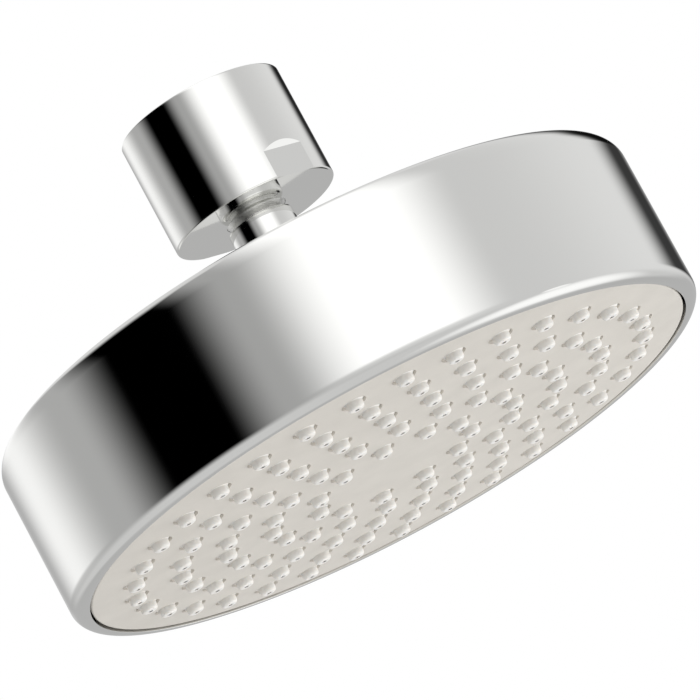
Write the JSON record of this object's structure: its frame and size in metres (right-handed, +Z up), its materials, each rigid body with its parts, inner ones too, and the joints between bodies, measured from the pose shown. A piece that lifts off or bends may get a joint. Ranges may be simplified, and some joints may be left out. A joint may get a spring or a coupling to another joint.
{
  "type": "shower head",
  "caption": "Round fixed shower head: a chromed drum with a domed face of soft nozzles hangs by a short stem and a ball joint from a threaded connector nut.",
  "frame": {"origin": "centre of the mouth of the connector nut's inlet thread", "axes": "+Z up along the nut, stem and drum axis, out of the thread's mouth; the wrench flats face -Y and +Y"},
  "size_m": [0.108, 0.108, 0.066],
  "materials": {
    "chromed_brass": "polished chrome plate on brass",
    "chromed_plastic": "polished chrome plate on moulded plastic",
    "warm_grey_plastic": "satin light warm grey",
    "cream_silicone": "soft satin cream silicone",
    "inner_plastic": "plain moulded grey",
    "white_acetal": "natural white acetal",
    "black_rubber": "black sealing rubber",
    "bare_brass": "turned brass",
    "steel": "plain stainless steel"
  },
  "bodies": {
    "connector": {"connector_nut": "chromed_brass", "inlet_washer": "black_rubber", "filter_screen": "steel", "seat_retainer": "bare_brass", "seat_spring": "steel"},
    "seat": {"ball_seat": "white_acetal", "seat_o_ring": "black_rubber"},
    "regulator": {"flow_regulator": "white_acetal", "regulator_ring": "black_rubber", "regulator_o_ring": "black_rubber"},
    "head": {"swivel_ball": "chromed_brass", "shank_o_ring": "black_rubber", "stem": "chromed_brass", "flange_gasket": "black_rubber", "housing": "chromed_plastic", "lock_washer": "steel", "lock_nut": "bare_brass", "face_plate": "warm_grey_plastic", "nozzle_mat": "cream_silicone", "chamber_plate": "inner_plastic", "spigot_o_ring": "black_rubber", "chamber_screws": "steel"}
  },
  "joints": [
    {"name": "swivel", "type": "hinge", "parent": "connector", "child": "seat", "pos_m": [0, 0, -0.01365], "axis": [0, 0, 1], "continuous": true},
    {"name": "tilt", "type": "hinge", "parent": "seat", "child": "regulator", "pos_m": [0, 0, -0.01365], "axis": [1, 0, 0], "range_deg": [-10, 10]},
    {"name": "spin", "type": "hinge", "parent": "regulator", "child": "head", "pos_m": [0, 0, -0.01365], "axis": [0, 0, 1], "continuous": true}
  ]
}
